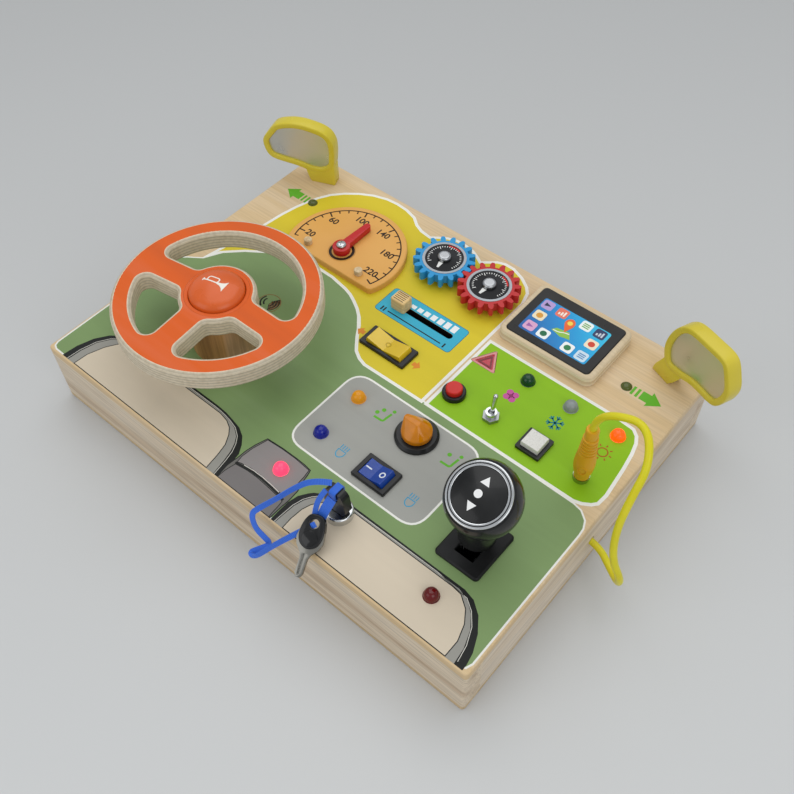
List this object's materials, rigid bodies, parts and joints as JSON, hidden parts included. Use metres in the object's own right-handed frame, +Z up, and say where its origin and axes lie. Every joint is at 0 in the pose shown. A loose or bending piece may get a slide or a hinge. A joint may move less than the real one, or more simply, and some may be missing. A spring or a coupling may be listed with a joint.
{
  "type": "wooden busy board",
  "caption": "Toddler's flat wooden toy dashboard with steering wheel, gear lever, dial, meshing gears, switches, key lock, plug on a cord, lamps and side mirrors.",
  "frame": {"origin": "centre of the case's underside, on the surface the board lies on", "axes": "+X to the user's right along the long side, +Y away from the user, +Z up out of the printed face"},
  "size_m": [0.3262, 0.2218, 0.1051],
  "materials": {
    "panel_wood": "printed plywood, satin",
    "pale_wood": "bare plywood, satin",
    "brown_wood": "stained beech, satin",
    "orange_wood": "orange lacquer over beech",
    "orange_dome": "glossy",
    "tan_wood": "bare plywood, satin",
    "peg_wood": "bare beech",
    "red_gloss": "glossy",
    "blue_gloss": "satin",
    "gear_red_gloss": "satin",
    "steel": "zinc plated",
    "chrome": "polished",
    "spring_steel": "bright",
    "black_matte": "moulded",
    "black_gloss": "glossy",
    "inner_plastic": "moulded",
    "cell": "wrapped cell, satin",
    "board_green": "solder mask",
    "slider_wood": "bare beech",
    "yellow_gloss": "glossy",
    "blue_clear": "translucent, glossy",
    "amber_clear": "translucent, glossy",
    "white_plastic": "fine grain",
    "brass": "polished",
    "key_steel": "nickel plated",
    "loop_steel": "bent wire",
    "ribbon": "woven tape",
    "plug_yellow": "satin",
    "cord_yellow": "soft vinyl, satin",
    "lamp_clear": "translucent, glossy",
    "lens_red": "translucent, glossy",
    "screen_glass": "black glass",
    "mirror_yellow": "yellow lacquer over plywood",
    "mirror": "silvered"
  },
  "bodies": {
    "board": {"top_panel": "panel_wood", "long_rails": "pale_wood", "side_rails": "pale_wood", "bottom_panel": "pale_wood", "battery_box": "inner_plastic", "batteries": "cell", "battery_door": "black_matte", "screws": "steel", "circuit_board": "board_green", "speaker": "inner_plastic", "nuts": "steel", "wheel_pedestal": "brown_wood", "wheel_sleeve": "steel", "horn_spring": "spring_steel", "dial_plate": "tan_wood", "dial_pegs": "peg_wood", "pointer_screw": "chrome", "gear_bolts": "chrome", "yellow_rocker_housing": "black_matte", "blue_rocker_housing": "black_matte", "rotary_housing": "black_matte", "red_button_base": "black_matte", "white_button_base": "black_matte", "toggle_body": "steel", "shifter_base": "black_matte", "lock_body": "chrome", "spare_key_grip": "black_matte", "spare_key_blade": "key_steel", "ribbon": "ribbon", "jack": "chrome", "cord": "cord_yellow", "cord_knot": "cord_yellow", "lamps": "lamp_clear", "hazard_lens": "lens_red", "screen_body": "pale_wood", "screen_glass": "screen_glass", "mirror_frames": "mirror_yellow", "mirror_glasses": "mirror"},
    "steering_wheel": {"wheel": "orange_wood"},
    "horn": {"horn_button": "orange_dome"},
    "needle": {"pointer": "red_gloss"},
    "blue_wheel": {"gear_blue": "blue_gloss"},
    "red_wheel": {"gear_red": "gear_red_gloss"},
    "slider": {"slider_knob": "slider_wood", "slider_retainer": "inner_plastic"},
    "yellow_switch": {"yellow_rocker": "yellow_gloss"},
    "blue_switch": {"blue_rocker": "blue_clear"},
    "rotary": {"rotary_knob": "amber_clear"},
    "red_button": {"red_button_cap": "red_gloss"},
    "white_button": {"white_button_cap": "white_plastic"},
    "toggle": {"toggle_lever": "chrome"},
    "shifter": {"shifter_lever": "black_matte", "shifter_ball": "black_gloss", "shifter_ring": "chrome", "shifter_badge": "black_gloss"},
    "key": {"lock_core": "brass", "key_grip": "black_matte", "key_blade": "key_steel", "key_loop": "loop_steel"},
    "plug_body": {"plug": "plug_yellow"}
  },
  "joints": [
    {"name": "wheel_turn", "type": "hinge", "parent": "board", "child": "steering_wheel", "pos_m": [-0.0714, -0.0393, 0.072], "axis": [0, 0, 1], "continuous": true},
    {"name": "horn_press", "type": "slide", "parent": "steering_wheel", "child": "horn", "axis": [0, 0, -1], "range_m": [0, 0.0025], "stiffness_N_per_m": 400, "springref_m": -0.0005, "deforming": ["horn_spring"]},
    {"name": "pointer_turn", "type": "hinge", "parent": "board", "child": "needle", "pos_m": [-0.0663, 0.0466, 0.048], "axis": [0, 0, 1], "range_deg": [-94, 94]},
    {"name": "gear_blue_turn", "type": "hinge", "parent": "board", "child": "blue_wheel", "pos_m": [-0.014, 0.0756, 0.048], "axis": [0, 0, 1], "continuous": true},
    {"name": "gear_red_turn", "type": "hinge", "parent": "board", "child": "red_wheel", "pos_m": [0.0182, 0.0747, 0.048], "axis": [0, 0, 1], "continuous": true},
    {"name": "slider_slide", "type": "slide", "parent": "board", "child": "slider", "axis": [1, 0, 0], "range_m": [-0.004, 0.033]},
    {"name": "yellow_rocker_tilt", "type": "hinge", "parent": "board", "child": "yellow_switch", "pos_m": [0, 0.0108, 0.0424], "axis": [0, 1, 0], "range_deg": [-10, 10]},
    {"name": "blue_rocker_tilt", "type": "hinge", "parent": "board", "child": "blue_switch", "pos_m": [0.0481, -0.054, 0.0424], "axis": [0, 1, 0], "range_deg": [0, 18]},
    {"name": "rotary_turn", "type": "hinge", "parent": "board", "child": "rotary", "pos_m": [0.0483, -0.024, 0.048], "axis": [0, 0, 1], "range_deg": [-120, 0]},
    {"name": "red_button_press", "type": "slide", "parent": "board", "child": "red_button", "axis": [0, 0, -1], "range_m": [0, 0.0025], "stiffness_N_per_m": 300, "springref_m": -0.0005},
    {"name": "white_button_press", "type": "slide", "parent": "board", "child": "white_button", "axis": [0, 0, -1], "range_m": [0, 0.0025], "stiffness_N_per_m": 300, "springref_m": -0.0005},
    {"name": "toggle_flip", "type": "hinge", "parent": "board", "child": "toggle", "pos_m": [0.0695, 0.0087, 0.0445], "axis": [1, 0, 0], "range_deg": [0, 24]},
    {"name": "shifter_tilt", "type": "hinge", "parent": "board", "child": "shifter", "pos_m": [0.1072, -0.0537, 0.034], "axis": [1, 0, 0], "range_deg": [-12, 12]},
    {"name": "key_turn", "type": "hinge", "parent": "board", "child": "key", "pos_m": [0.0485, -0.081, 0.045], "axis": [0, 0, 1], "range_deg": [0, 90]},
    {"name": "plug_pull", "type": "slide", "parent": "board", "child": "plug_body", "axis": [0, 0, 1], "range_m": [0, 0.012], "deforming": ["cord"]}
  ],
  "couplings": [
    {"joint": "gear_red_turn", "follows": "gear_blue_turn", "ratio": -1}
  ]
}
